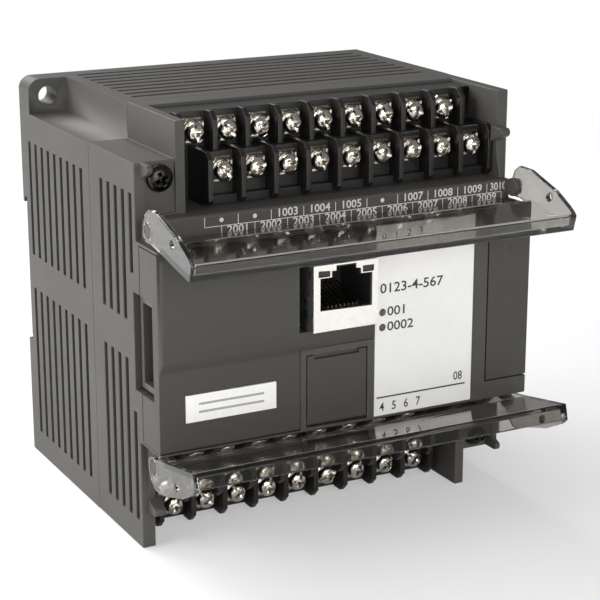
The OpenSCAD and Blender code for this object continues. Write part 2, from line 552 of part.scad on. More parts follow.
// ---- terminal blocks: two staggered rows of barrier terminals
row_b = [for (i = [0 : per_row - 1]) x_first + i * tp];
row_a = [for (i = [0 : per_row - 1]) x_first + (i + 0.5) * tp];
module terminal_block() {
  xa = x_first - barrier_t / 2;
  difference() {
    union() {
      box(in_x, in_hi, step_d, tier_b_d, deck_z, body_h - 0.7);
      box(xa, in_hi, step_d, tier_a_d, deck_z, tier_z);
      box(xa, in_hi, tier_a_d - 0.1, tier_a_d + 2.2, deck_z, deck_z + 2);
      for (k = [0 : per_row]) {
        prof(x_first + k * tp - barrier_t / 2, x_first + k * tp + barrier_t / 2)
          polygon([[tier_a_d - 0.1, deck_z + 0.5], [tier_a_d + 3.8, deck_z + 0.5], [tier_a_d + 4.8, deck_z + 1.5],
            [tier_a_d + 4.8, tier_z - 0.8], [tier_a_d + 3.3, tier_z + 0.7], [tier_b_d - 0.1, tier_z + 0.7],
            [tier_b_d - 0.1, tier_z - 0.1], [tier_a_d - 0.1, tier_z - 0.1]]);
        prof(x_first + (k - 0.5) * tp - barrier_t / 2, x_first + (k - 0.5) * tp + barrier_t / 2)
          polygon([[tier_b_d - 0.1, tier_z - 0.1], [tier_b_d + 4.8, tier_z - 0.1], [tier_b_d + 4.8, body_h - 2.2],
            [tier_b_d + 3, body_h - 0.4], [tier_b_d - 0.1, body_h - 0.4]]);
      }
    }
    for (x = row_b) {
      rod_d(x, row_b_z, step_d + 1, tier_b_d + 1, term_thread_d + 0.1, 24);
      box(x - 0.65, x + 0.65, step_d - 1, tier_b_d + 1, row_b_z - 2.6, row_b_z - 1.7);
    }
    for (x = row_a) {
      rod_d(x, row_a_z, step_d + 5, tier_a_d + 1, term_thread_d + 0.1, 24);
      box(x - 0.65, x + 0.65, step_d - 1, tier_a_d + 1, row_a_z - 2.6, row_a_z - 1.7);
    }
  }
}
module contact(x, z, d) {
  difference() {
    union() {
      box(x - washer_w / 2, x + washer_w / 2, d, d + 0.8, z - 2.55, z + 2.9);
      box(x - 0.6, x + 0.6, board_d + board_t, d + 0.1, z - 2.55, z - 1.75);
    }
    rod_d(x, z, d - 1, d + 2, term_thread_d + 0.1, 24);
  }
}
module terminal_contacts() {
  for (x = row_b) contact(x, row_b_z, tier_b_d);
  for (x = row_a) contact(x, row_a_z, tier_a_d);
}
module washer(x, z, d) {
  difference() {
    union() {
      box(x - washer_w / 2, x + washer_w / 2, d + 0.8, d + 1.6, z - 2.4, z + 2.8);
      rod_d(x, z, d + 1.5, d + 2.2, washer_w - 0.4, 32);
    }
    rod_d(x, z, d, d + 3, term_thread_d + 0.2, 24);
  }
}
module terminal_washers() {
  for (x = row_b) washer(x, row_b_z, tier_b_d);
  for (x = row_a) washer(x, row_a_z, tier_a_d);
}
module terminal_screws() {
  for (x = row_b) pan_screw(x, row_b_z, tier_b_d + 2.2, term_head_d, 2, term_thread_d, 8);
  for (x = row_a) pan_screw(x, row_a_z, tier_a_d + 2.2, term_head_d, 2, term_thread_d, 9);
}
module upper_terminal_block() { color("#171512") row() terminal_block(); }
module upper_terminal_contacts() { color("#b8a478") row() terminal_contacts(); }
module upper_terminal_washers() { color("#c4c1ba") row() terminal_washers(); }
module upper_terminal_screws() { color("#cfccc5") row() terminal_screws(); }
module lower_terminal_block() { color("#171512") row() flip() terminal_block(); }
module lower_terminal_contacts() { color("#b8a478") row() flip() terminal_contacts(); }
module lower_terminal_washers() { color("#c4c1ba") row() flip() terminal_washers(); }
module lower_terminal_screws() { color("#cfccc5") row() flip() terminal_screws(); }

// ---- hinged clear covers, drawn open, in (forward, up) from the hinge
module cover() {
  r = cover_reach;
  translate([0, -hinge_d, hinge_z]) {
    // tray floor and front lip
    prof(-hw, hw) polygon([[5.6, -3.1], [r - 1, -5.9], [r, -2.3], [r - cover_t, -2],
      [r - cover_t - 0.85, -4.5], [5.8, -1.9]]);
    // flat rear part over the ledge, between the hinge ears
    prof(-end_x + ear_w + gap, end_x - ear_w - gap) polygon([[-0.6, -3.1], [6.4, -3.1], [6.4, -2.2], [-0.6, -2.4]]);
    for (s = [-1, 1]) difference() {
      prof(s > 0 ? hw - cover_t : -hw, s > 0 ? hw : -hw + cover_t) difference() {
        union() {
          circle(r = 2.5, $fn = 48);
          polygon([[-2.2, 1.2], [-1.2, 3.6], [0.6, 4.9], [5.2, 4.8], [r - 7, 1.9], [r - 1.2, -1.1], [r, -2.3],
            [r - 1, -5.9], [5.6, -3.1], [1, -2.3], [-2.2, -1.2]]);
        }
        circle(d = hinge_pin_d + 2 * pin_play, $fn = 48);
        translate([-(hinge_d - peg_d) * cos(open_deg) + peg_rel * sin(open_deg),
          (hinge_d - peg_d) * sin(open_deg) + peg_rel * cos(open_deg)])
          circle(d = 1.8, $fn = 32);
      }
    }
  }
}
module upper_cover() { color("#3a3a3899") row() cover(); }
module lower_cover() { color("#3a3a3899") row() flip() cover(); }

// ---- fixings
module casing_screws() {
  color("#161616") row() both() pan_screw(screw_x, screw_z, shoulder_d - 0.8, 6, 2, 2.9, shoulder_d - 0.8 - split_d + 7);
}
module rail_latch() {
  color("#1b1a19") row() difference() {
    union() {
      box(-9, 9, 0.3, 1.5, latch_z, zc - din_gap / 2 - gap);
      box(-8.4, 8.4, 0.3, 1.1, 20, zc - din_gap / 2 + 1.4);
      box(-11, 11, 1.49, 2.6, 8, 27);
    }
    box(-4, 4, -1, 4, latch_z + 1.2, latch_z + 2.8);
    for (s = [-1, 1]) box(s * 6.5 - 0.6, s * 6.5 + 0.6, 1.2, 4, 10, 25);
  }
}

rear_casing();
front_casing();
front_cover();
nameplate();
face_label();
status_leds();
port_door();
expansion_port_cover();
bus_socket_left();
bus_header_right();
main_board();
front_board();
board_link();
dc_converter();
capacitors();
main_board_chips();
front_board_chips();
main_board_screws();
front_board_screws();
jack_shell();
jack_insert();
jack_contacts();
jack_leds();
dip_switch();
dip_slider_1();
dip_slider_2();
dip_slider_3();
dip_slider_4();
upper_terminal_block();
upper_terminal_contacts();
upper_terminal_washers();
upper_terminal_screws();
lower_terminal_block();
lower_terminal_contacts();
lower_terminal_washers();
lower_terminal_screws();
upper_cover();
lower_cover();
casing_screws();
rail_latch();
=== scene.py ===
import math

import bmesh
import bpy
from mathutils import Matrix, Vector


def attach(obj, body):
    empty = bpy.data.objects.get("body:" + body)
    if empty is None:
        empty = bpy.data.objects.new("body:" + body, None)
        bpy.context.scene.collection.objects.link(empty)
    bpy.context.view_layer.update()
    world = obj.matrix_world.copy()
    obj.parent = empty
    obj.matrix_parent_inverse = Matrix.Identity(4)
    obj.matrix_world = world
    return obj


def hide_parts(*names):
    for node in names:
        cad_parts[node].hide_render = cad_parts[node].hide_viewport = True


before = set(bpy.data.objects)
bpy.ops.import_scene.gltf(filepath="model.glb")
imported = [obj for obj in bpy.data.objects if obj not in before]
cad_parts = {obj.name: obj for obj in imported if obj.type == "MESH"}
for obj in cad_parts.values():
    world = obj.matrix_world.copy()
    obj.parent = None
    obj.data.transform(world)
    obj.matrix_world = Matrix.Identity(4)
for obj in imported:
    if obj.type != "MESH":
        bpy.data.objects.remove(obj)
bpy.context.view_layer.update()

# ---------------------------------------------------------------- rear casing
# The rear half of the case: a five-sided ABS moulding with ventilation slots, two mounting
# flanges and the rail channel across its back. It is injection moulded with a spark-eroded
# skin, and its outer edges keep the small radius of the mould.

MM = 0.001
ROW_DEPTH, ROW_HEIGHT = 2.4, 47.5  # the frame's origin, from the back face and from the base


def at(x, depth, height):
    """A point from its distance across, in front of the back face and above the base, in mm."""
    return Vector((x * MM, (ROW_DEPTH - depth) * MM, (height - ROW_HEIGHT) * MM))


def tree_group(name, inputs, outputs):
    group = bpy.data.node_groups.new(name, "ShaderNodeTree")
    for label, kind, value in inputs:
        socket = group.interface.new_socket(name=label, in_out="INPUT", socket_type=kind)
        socket.default_value = value
    for label, kind in outputs:
        group.interface.new_socket(name=label, in_out="OUTPUT", socket_type=kind)
    return group, group.nodes.new("NodeGroupInput"), group.nodes.new("NodeGroupOutput")


def add(tree, kind, links=(), **settings):
    """A new node with these settings, and links into its inputs from other sockets."""
    node = tree.nodes.new(kind)
    for key, value in settings.items():
        setattr(node, key, value)
    for source, target in links:
        tree.links.new(source, node.inputs[target])
    return node


def feed(tree, socket, value):
    """Sets a socket to a plain value, or links another socket into it."""
    if isinstance(value, bpy.types.NodeSocket):
        tree.links.new(value, socket)
    else:
        socket.default_value = value


def fill(tree, node, **values):
    """Feeds a node's inputs by name, an underscore standing for each space."""
    for key, value in values.items():
        feed(tree, node.inputs[key.replace("_", " ")], value)
    return node


def feed_first(tree, node, *values):
    """Feeds a node's first inputs in their order."""
    for socket, value in zip(node.inputs, values):
        feed(tree, socket, value)
    return node.outputs[0]


def ramp(tree, source, low, high, to_low=0.0, to_high=1.0):
    return feed_first(tree, add(tree, "ShaderNodeMapRange"), source, low, high, to_low, to_high)


def combine(tree, operation, a, b):
    return feed_first(tree, add(tree, "ShaderNodeMath", operation=operation), a, b)


def noise(tree, spot, scale, detail, roughness=0.5):
    node = add(tree, "ShaderNodeTexNoise")
    return fill(tree, node, Vector=spot, Scale=scale, Detail=detail, Roughness=roughness).outputs[0]


def blend_colour(tree, factor, a, b):
    node = add(tree, "ShaderNodeMix", data_type="RGBA")
    for socket, value in ((node.inputs[0], factor), (node.inputs[6], a), (node.inputs[7], b)):
        feed(tree, socket, value)
    return node.outputs[2]


def own_place(tree):
    return add(tree, "ShaderNodeTexCoord").outputs["Object"]


# Moulded skin: fine eroded grain, slow gloss drift and faint flow marks of a plastic moulding.
skin, skin_in, skin_out = tree_group(
    "Moulded Skin",
    [
        ("Colour", "NodeSocketColor", (0.1, 0.1, 0.1, 1)),
        ("Pale Colour", "NodeSocketColor", (0.2, 0.2, 0.2, 1)),
        ("Grain", "NodeSocketFloat", 5200.0),
        ("Gloss Low", "NodeSocketFloat", 0.45),
        ("Gloss High", "NodeSocketFloat", 0.6),
    ],
    [("Colour", "NodeSocketColor"), ("Roughness", "NodeSocketFloat"), ("Height", "NodeSocketFloat")],
)
place = own_place(skin)
fine = noise(skin, place, skin_in.outputs["Grain"], 3.0, 0.6)
pits = fill(skin, add(skin, "ShaderNodeTexVoronoi"), Vector=place, Scale=2600.0).outputs[0]
drift = noise(skin, place, 38.0, 4.0, 0.55)
specks = ramp(skin, noise(skin, place, 900.0, 2.0), 0.35, 0.75, 0.0, 0.16)
tone = combine(skin, "ADD", ramp(skin, drift, 0.3, 0.7, 0.0, 0.16), specks)
fill(
    skin, skin_out,
    Colour=blend_colour(skin, tone, skin_in.outputs["Colour"], skin_in.outputs["Pale Colour"]),
    Roughness=ramp(skin, drift, 0.3, 0.7, skin_in.outputs["Gloss Low"], skin_in.outputs["Gloss High"]),
    Height=combine(skin, "ADD", fine, ramp(skin, pits, 0.0, 0.5, 0.0, 0.5)),
)

# Painted edge highlight: the skin is painted a little paler along its edges, standing in for the sheen of
# the light on their small radius, and it is a little smoother there.
edge_highlight, edge_highlight_in, edge_highlight_out = tree_group(
    "Painted Edge Highlight",
    [
        ("Colour", "NodeSocketColor", (0.1, 0.1, 0.1, 1)),
        ("Rubbed Colour", "NodeSocketColor", (0.3, 0.3, 0.3, 1)),
        ("Roughness", "NodeSocketFloat", 0.5),
        ("Reach", "NodeSocketFloat", 0.0004),
        ("Strength", "NodeSocketFloat", 0.6),
    ],
    [("Colour", "NodeSocketColor"), ("Roughness", "NodeSocketFloat")],
)
# The bevel finds the edges, and the paler colour painted on them is a painted highlight.
rounded = fill(edge_highlight, add(edge_highlight, "ShaderNodeBevel", samples=4), Radius=edge_highlight_in.outputs["Reach"])
flat = add(edge_highlight, "ShaderNodeNewGeometry")
turned = add(edge_highlight, "ShaderNodeVectorMath", [(rounded.outputs[0], 0), (flat.outputs["Normal"], 1)],
             operation="DOT_PRODUCT")
edge = ramp(edge_highlight, turned.outputs["Value"], 0.97, 0.8)
broken = ramp(edge_highlight, noise(edge_highlight, own_place(edge_highlight), 420.0, 4.0), 0.35, 0.62)
mask = combine(edge_highlight, "MULTIPLY", combine(edge_highlight, "MULTIPLY", edge, broken), edge_highlight_in.outputs["Strength"])
fill(
    edge_highlight, edge_highlight_out,
    Colour=blend_colour(edge_highlight, mask, edge_highlight_in.outputs["Colour"], edge_highlight_in.outputs["Rubbed Colour"]),
    Roughness=combine(edge_highlight, "SUBTRACT", edge_highlight_in.outputs["Roughness"], ramp(edge_highlight, mask, 0.0, 1.0, 0.0, 0.18)),
)


def use(tree, group, **values):
    """The node group placed in a material."""
    return fill(tree, add(tree, "ShaderNodeGroup", node_tree=group), **values)


def start(name):
    material = bpy.data.materials.new(name)
    material.use_nodes = True
    return material, material.node_tree, material.node_tree.nodes["Principled BSDF"]


def bumped(tree, shader, height, strength, distance):
    bump = fill(tree, add(tree, "ShaderNodeBump"), Height=height, Strength=strength, Distance=distance)
    tree.links.new(bump.outputs[0], shader.inputs["Normal"])


def rgb(r, g, b):
    return (r, g, b, 1.0)


def moulding(name, colour, pale, painted_highlight, low, high, grain=5200.0, bump=0.35, reach=0.0004, shine=0.3):
    """Moulded plastic with its eroded skin and a painted highlight along its edges."""
    material, tree, shader = start(name)
    body = use(tree, skin, Colour=colour, Pale_Colour=pale, Grain=grain, Gloss_Low=low, Gloss_High=high)
    # A painted highlight along the edges, in the third colour.
    highlighted = use(tree, edge_highlight, Colour=body.outputs["Colour"], Rubbed_Colour=painted_highlight,
               Roughness=body.outputs["Roughness"], Reach=reach, Strength=0.6)
    fill(tree, shader, Base_Color=highlighted.outputs["Colour"], Roughness=highlighted.outputs["Roughness"],
         Specular_IOR_Level=shine)
    bumped(tree, shader, body.outputs["Height"], bump, 0.00003)
    return material


def paint(piece, material):
    piece.data.materials.clear()
    piece.data.materials.append(material)


def dress(node, material):
    """A CAD node shown as it is, with its own finish."""
    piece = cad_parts[node]
    paint(piece, material)


def keep(piece, body, slot, *nodes):
    """A finished piece that moves with a body and stands for these CAD nodes, if any."""
    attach(piece, body)
    if nodes:
        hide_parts(*nodes)


def from_bmesh(bm, name, material=None):
    mesh = bpy.data.meshes.new(name)
    bm.to_mesh(mesh)
    bm.free()
    if material:
        mesh.materials.append(material)
    piece = bpy.data.objects.new(name, mesh)
    bpy.context.scene.collection.objects.link(piece)
    return piece


def evaluated_mesh(piece):
    graph = bpy.context.evaluated_depsgraph_get()
    return bpy.data.meshes.new_from_object(piece.evaluated_get(graph))


def smooth_faces(piece):
    """Smooth shading that stays flat on the large faces, with sharp edges past a crease."""
    piece.data.shade_smooth()
    piece.data.set_sharp_from_angle(angle=math.radians(38))
    weighted = piece.modifiers.new("weighted", "WEIGHTED_NORMAL")
    weighted.keep_sharp = True
    done = evaluated_mesh(piece)
    piece.modifiers.clear()
    piece.data = done


def crossings(ring, u, v):
    """Where an outline's edges cross each other, seen in the plane of axes u and v."""
    count, found = len(ring), []
    for m in range(count):
        a, b = ring[m], ring[(m + 1) % count]
        for n in range(m + 2, count if m else count - 1):
            c, d = ring[n], ring[(n + 1) % count]
            rx, ry, sx, sy = b[u] - a[u], b[v] - a[v], d[u] - c[u], d[v] - c[v]
            area = rx * sy - ry * sx
            if abs(area) > 1e-16:
                t = ((c[u] - a[u]) * sy - (c[v] - a[v]) * sx) / area
                w = ((c[u] - a[u]) * ry - (c[v] - a[v]) * rx) / area
                if 0 <= t <= 1 and 0 <= w <= 1:
                    found.append(a.lerp(b, t))
    return found


def folds(bm):
    """Places where a face's outline crosses itself."""
    twisted = {}
    for loops in bm.calc_loop_triangles():
        a, b, c = (loop.vert.co for loop in loops)
        turn = (b - a).cross(c - a)
        face = loops[0].face
        if turn.length > 1e-10 and turn.dot(face.normal) < 0:
            twisted.setdefault(face, []).append((a + b + c) / 3)
    places = []
    for face, centres in twisted.items():
        drop = max(range(3), key=lambda k: abs(face.normal[k]))
        u, v = [k for k in range(3) if k != drop]
        places += crossings([loop.vert.co for loop in face.loops], u, v) or centres
    return places


def clears(edge, points, reach):
    """Whether an edge stays further than this from every one of the points."""
    a = edge.verts[0].co
    along = edge.verts[1].co - a
    size = max(along.length_squared, 1e-18)
    for p in points:
        t = min(1.0, max(0.0, (p - a).dot(along) / size))
        if (a + along * t - p).length <= reach:
            return False
    return True


def softened(node, name, material, radius, segments=2, body="casing", slot=None):
    """The node's shape with the small edge radius that the mould or the press leaves. Edges too
    close together to take the radius stay sharp."""
    sharp_angle, last_try = math.radians(30), 6
    crowded = []
    for attempt in range(last_try + 1):
        bm = bmesh.new()
        bm.from_mesh(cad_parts[node].data)
        bmesh.ops.remove_doubles(bm, verts=bm.verts, dist=0.002 * MM)
        bmesh.ops.dissolve_limit(bm, angle_limit=math.radians(0.7), use_dissolve_boundaries=False,
                                 verts=bm.verts, edges=bm.edges)
        chosen = []
        for e in bm.edges if attempt < last_try else ():
            sharp = e.is_manifold and e.calc_face_angle(0) > sharp_angle
            if sharp and clears(e, crowded, 2.4 * radius * MM):
                chosen.append(e)
        if chosen:
            bmesh.ops.bevel(bm, geom=chosen, offset=radius * MM, offset_type="OFFSET", segments=segments,
                            profile=0.55, affect="EDGES", clamp_overlap=False, loop_slide=True,
                            miter_outer="SHARP", miter_inner="SHARP")
        bm.normal_update()
        found = folds(bm)
        if not found or attempt == last_try:
            break
        crowded += found
        bm.free()
    for face in bm.faces:
        face.material_index = 0
    piece = from_bmesh(bm, name, material)
    smooth_faces(piece)
    keep(piece, body, slot, node)


# The casing's third colour is its painted edge highlight.
case_skin = moulding("casing_skin", rgb(0.060, 0.057, 0.052), rgb(0.074, 0.070, 0.065),
                     rgb(0.140, 0.134, 0.125), 0.46, 0.58)
softened("rear_casing", "rear_case_shell", case_skin, 0.22, slot="casing_plastic")

# --------------------------------------------------------------- front casing
# The front half of the case in the same ABS: side walls with narrower slots, the recesses of
# the two terminal blocks, the raised front block and the label shelves. It closes on the rear
# half with a plain butt seam and two long screws.

softened("front_casing", "front_case_shell", case_skin, 0.2, slot="casing_plastic")

# ------------------------------------- front cover, port door and bus port cover
# Three snap-in ABS mouldings on the front: the L-shaped cover with its crowned upper part, the
# small door over the setting switch and the cap over the bus port. Their skin is a shade
# darker than the case, with the same fine grain.

# The third colour is the painted edge highlight.
panel_skin = moulding("panel_skin", rgb(0.050, 0.047, 0.042), rgb(0.064, 0.060, 0.055),
                      rgb(0.130, 0.124, 0.115), 0.42, 0.56)
softened("front_cover", "front_cover_shell", panel_skin, 0.25, slot="panel_plastic")
softened("port_door", "port_door_shell", panel_skin, 0.16, body="port_door", slot="panel_plastic")
softened("expansion_port_cover", "bus_port_cap", panel_skin, 0.16, body="expansion_port_cover",
         slot="panel_plastic")

# ------------------------------------------------------ nameplate and face label
# A polyester nameplate with a clear gloss coat, and a silver-white printed film label let into
# a shallow recess. Both are die cut and glued. The nameplate carries two plain rules, and the
# label has only a rule and numbers.


def film(name, colour, cloudy, low, high, coat):
    material, tree, shader = start(name)
    spot = own_place(tree)
    cloud = noise(tree, spot, 120.0, 5.0, 0.6)
    fill(tree, shader, Base_Color=blend_colour(tree, ramp(tree, cloud, 0.3, 0.75), colour, cloudy),
         Roughness=ramp(tree, cloud, 0.3, 0.7, low, high), Coat_Weight=coat, Coat_Roughness=0.12)
    bumped(tree, shader, noise(tree, spot, 3800.0, 3.0), 0.12, 0.00001)
    return material


plate_film = film("nameplate_film", rgb(0.86, 0.85, 0.83), rgb(0.80, 0.79, 0.77), 0.22, 0.34, 0.5)
label_film = film("face_label_film", rgb(0.76, 0.755, 0.735), rgb(0.71, 0.705, 0.685), 0.36, 0.48, 0.15)
softened("nameplate", "nameplate_card", plate_film, 0.07, slot="nameplate_white")
softened("face_label", "face_label_card", label_film, 0.05, slot="label_film")


def ink(name, colour, spotty, rough):
    material, tree, shader = start(name)
    mottle = noise(tree, own_place(tree), 2400.0, 3.0)
    fill(tree, shader, Base_Color=blend_colour(tree, ramp(tree, mottle, 0.35, 0.7), colour, spotty),
         Roughness=ramp(tree, mottle, 0.3, 0.7, rough, rough + 0.15))
    return material


black_ink = ink("black_ink", rgb(0.02, 0.02, 0.022), rgb(0.045, 0.045, 0.045), 0.35)
grey_ink = ink("grey_ink", rgb(0.30, 0.30, 0.31), rgb(0.37, 0.37, 0.37), 0.35)
pale_ink = ink("pale_ink", rgb(0.66, 0.64, 0.60), rgb(0.54, 0.52, 0.49), 0.4)

INK_THICK = 0.02
TO_FRONT = Matrix.Rotation(math.radians(90), 4, "X")  # turns what faces up to face the front


def bar(bm, centre, width, height):
    """A printed bar, centred on a point: a very thin block, upright on the front."""
    for v in bmesh.ops.create_cube(bm, size=1.0)["verts"]:
        v.co = Vector((v.co.x * width, v.co.y * INK_THICK, v.co.z * height)) * MM + centre


def digits(bm, text, centre, height, squeeze=0.85):
    """Printed figures, centred on a point, as a thin mesh."""
    figure_height = 0.7  # of a figure in the plain font, at size 1
    curve = bpy.data.curves.new("figures", "FONT")
    curve.body = text
    curve.size = 1.0
    curve.align_x, curve.align_y = "CENTER", "CENTER"
    curve.extrude = INK_THICK / 2
    curve.offset = 0.014
    curve.resolution_u = 3
    holder = bpy.data.objects.new("figures", curve)
    bpy.context.scene.collection.objects.link(holder)
    bpy.context.view_layer.update()
    mesh = evaluated_mesh(holder)
    size = height * MM / figure_height
    mesh.transform(Matrix.Translation(centre) @ TO_FRONT @ Matrix.Diagonal((size * squeeze, size, MM, 1)))
    bm.from_mesh(mesh)
    bpy.data.objects.remove(holder)
    bpy.data.curves.remove(curve)
    bpy.data.meshes.remove(mesh)


label_front = 82.1
number_x, number_step = 7.6, 3.15
marks = bmesh.new()
bar(marks, at(17.9, label_front, 30.0), 23.4, 0.36)
for text, x, height, size, squeeze in (
    ("0123-4-567", 14.9, 55.3, 2.2, 1.12),
    ("001", 11.2, 49.9, 2.1, 1.15),
    ("0002", 12.1, 46.4, 2.1, 1.15),
    ("08", 27.6, 32.0, 2.0, 0.85),
):
    digits(marks, text, at(x, label_front, height), size, squeeze)
for i in range(4):
    x = number_x + number_step * i
    digits(marks, str(i), at(x, label_front, 66.6), 1.9)
    digits(marks, str(i + 4), at(x, label_front, 27.6), 2.0)
keep(from_bmesh(marks, "label_marks", black_ink), "casing", "label_film")

plate_x, plate_front, plate_height = -29.75, 82.15, 34.95
rules = bmesh.new()
for rise in (0.9, -0.9):
    bar(rules, at(plate_x, plate_front, plate_height + rise), 15.5, 0.5)
keep(from_bmesh(rules, "nameplate_rules", grey_ink), "casing", "nameplate_white")

# ------------------------------------------------------------- indicator pipes
# Two clear acrylic light pipes, moulded with a square foot. They stand in the label's holes
# over lamps on the front board, and are unlit.

pipe, tree, shader = start("light_pipe_acrylic")
haze = noise(tree, own_place(tree), 700.0, 3.0)
fill(tree, shader, Base_Color=blend_colour(tree, haze, rgb(0.030, 0.034, 0.030), rgb(0.065, 0.070, 0.062)),
     Roughness=ramp(tree, haze, 0.3, 0.7, 0.12, 0.28), Coat_Weight=0.6)
softened("status_leds", "indicator_pipes", pipe, 0.12, slot="light_pipe")

# ------------------------------------------------------------- terminal blocks
# Two stepped barrier blocks in glossy black glass-filled nylon. Thin walls with cut corners
# part the terminals, the front row standing half a pitch beside the rear one.

# The third colour is the painted edge highlight.
nylon = moulding("terminal_nylon", rgb(0.0085, 0.0076, 0.0068), rgb(0.015, 0.0135, 0.012),
                 rgb(0.070, 0.066, 0.061), 0.26, 0.42, grain=3600.0, bump=0.12, reach=0.0003, shine=0.5)
softened("upper_terminal_block", "upper_barrier_block", nylon, 0.14, slot="terminal_plastic")
softened("lower_terminal_block", "lower_barrier_block", nylon, 0.14, slot="terminal_plastic")

# --------------------------------------- terminal contacts, clamps and screws
# Each terminal is a tinned brass plate, a square nickel clamp bent up at its sides, a split
# spring ring and an M3 pan screw with a cross recess and a slot. The screws were tightened
# by hand, so no two recesses point the same way.


def plated(name, bright, dull, low, high, scratch=0.25):
    """Plated metal with cloudy tarnish and fine lines drawn across it."""
    material, tree, shader = start(name)
    spot = own_place(tree)
    cloud = noise(tree, spot, 520.0, 4.0, 0.6)
    drawn = fill(tree, add(tree, "ShaderNodeMapping"), Vector=spot, Scale=(600, 600, 9000))
    fill(tree, shader, Base_Color=blend_colour(tree, ramp(tree, cloud, 0.35, 0.7), bright, dull),
         Roughness=ramp(tree, cloud, 0.3, 0.7, low, high), Metallic=1.0)
    bumped(tree, shader, noise(tree, drawn.outputs[0], 1.0, 3.0), scratch, 0.00001)
    return material


nickel = plated("terminal_nickel", rgb(0.80, 0.765, 0.71), rgb(0.42, 0.39, 0.35), 0.09, 0.22)
tinned = plated("tinned_brass", rgb(0.30, 0.27, 0.22), rgb(0.17, 0.15, 0.12), 0.28, 0.45)
for end in ("upper", "lower"):
    dress(end + "_terminal_contacts", tinned)


def turned_solid(profile, name):
    """A closed solid of revolution about +Z, from (radius, height) points in mm that start and
    end on the axis."""
    steps = 40
    bm = bmesh.new()
    rings = []
    for radius, height in profile:
        ring = []
        for k in range(steps if radius else 1):
            angle = 2 * math.pi * k / steps
            point = Vector((radius * math.cos(angle), radius * math.sin(angle), height)) * MM
            ring.append(bm.verts.new(point))
        rings.append(ring)
    for a, b in zip(rings, rings[1:]):
        for k in range(steps):
            j = (k + 1) % steps
            if len(a) == 1:
                bm.faces.new((a[0], b[k], b[j]))
            elif len(b) == 1:
                bm.faces.new((a[j], a[k], b[0]))
            else:
                bm.faces.new((a[j], a[k], b[k], b[j]))
    bmesh.ops.recalc_face_normals(bm, faces=bm.faces)
    return from_bmesh(bm, name)


def cross_punch(wing, half, floor, top):
    """A tapered cross: its wings' reach, half their width, and the heights of its ends."""
    bm = bmesh.new()
    loops = []
    for height, reach, width in ((top + 0.6, wing * 1.12, half * 1.12), (floor, wing * 0.34, half * 0.55)):
        r, w = reach * MM, width * MM
        corners = [(r, -w), (r, w), (w, w), (w, r), (-w, r), (-w, w)]
        corners += [(-x, -y) for x, y in corners]
        loops.append([bm.verts.new((x, y, height * MM)) for x, y in corners])
    high, low = loops
    for k in range(len(high)):
        j = (k + 1) % len(high)
        bm.faces.new((high[j], high[k], low[k], low[j]))
    bm.faces.new(high)
    bm.faces.new(low[::-1])
    bmesh.ops.recalc_face_normals(bm, faces=bm.faces)
    return from_bmesh(bm, "cross_punch")


def slot_punch(width, floor):
    """A bar across the head, cutting down to its floor."""
    bm = bmesh.new()
    for v in bmesh.ops.create_cube(bm, size=1.0)["verts"]:
        v.co = Vector((v.co.x * 14, v.co.y * width, (v.co.z + 0.5) * 3 + floor)) * MM
    return from_bmesh(bm, "slot_punch")


def cut_head(profile, punches, name):
    """A screw on +Z with its recesses cut and its edges broken."""
    head = turned_solid(profile, name)
    for punch in punches:
        cut = head.modifiers.new("cut", "BOOLEAN")
        cut.object, cut.operation, cut.solver = punch, "DIFFERENCE", "EXACT"
    edge = head.modifiers.new("edge", "BEVEL")
    edge.width, edge.segments = 0.06 * MM, 1
    edge.limit_method, edge.angle_limit = "ANGLE", math.radians(35)
    edge.use_clamp_overlap = True
    bpy.context.view_layer.update()
    done = evaluated_mesh(head)
    head.modifiers.clear()
    head.data = done
    for punch in punches:
        bpy.data.objects.remove(punch)
    done.shade_smooth()
    done.set_sharp_from_angle(angle=math.radians(32))
    return head


def point_out(piece):
    """Turns a part built along +Z so that it points out of the front, along -Y."""
    piece.data.transform(TO_FRONT)
    return piece


# One pan screw; height 0 is the top of its contact plate.
screw_profile = [
    (0, -6.6), (1.2, -6.6), (1.45, -6.3), (1.45, 1.35), (2.14, 1.35), (2.28, 1.48), (2.3, 2.0),
    (2.26, 2.35), (2.1, 2.7), (1.72, 3.05), (1.05, 3.29), (0, 3.36),
]
screw_punches = [cross_punch(1.62, 0.44, 1.7, 3.36), slot_punch(0.62, 2.45)]
screw_pattern = point_out(cut_head(screw_profile, screw_punches, "screw_pattern"))


def bent_sheet(bm, width, length, tail, thick, across=8):
    """A square clamp with clipped corners, its sides and its front edge bent up."""
    def corner(i, j, side):
        x, y = (i / across - 0.5) * width, j / across * length - tail
        clip = 0.3 if abs(x) > 2.3 and (y > 2.7 or y < -2.3) else 0.0
        lift = 0.34 * max(0.0, (abs(x) - 1.3) / 1.1) ** 1.5 + 0.5 * max(0.0, (y - 1.6) / 1.2) ** 2
        x, y = x - math.copysign(clip, x), y - math.copysign(clip, y)
        return bm.verts.new(Vector((x, y, lift + thick * side)) * MM)

    cells = range(across + 1)
    sheet = [[[corner(i, j, side) for side in (0, 1)] for j in cells] for i in cells]
    for i in range(across):
        for j in range(across):
            for side in (0, 1):
                loop = [sheet[m][n][side] for m, n in ((i, j), (i + 1, j), (i + 1, j + 1), (i, j + 1))]
                bm.faces.new(loop if side else loop[::-1])
    for k in range(across):
        rim = (
            ((k, 0), (k + 1, 0)), ((across, k), (across, k + 1)),
            ((k + 1, across), (k, across)), ((0, k + 1), (0, k)),
        )
        for (i, j), (m, n) in rim:
            bm.faces.new((sheet[i][j][0], sheet[m][n][0], sheet[m][n][1], sheet[i][j][1]))


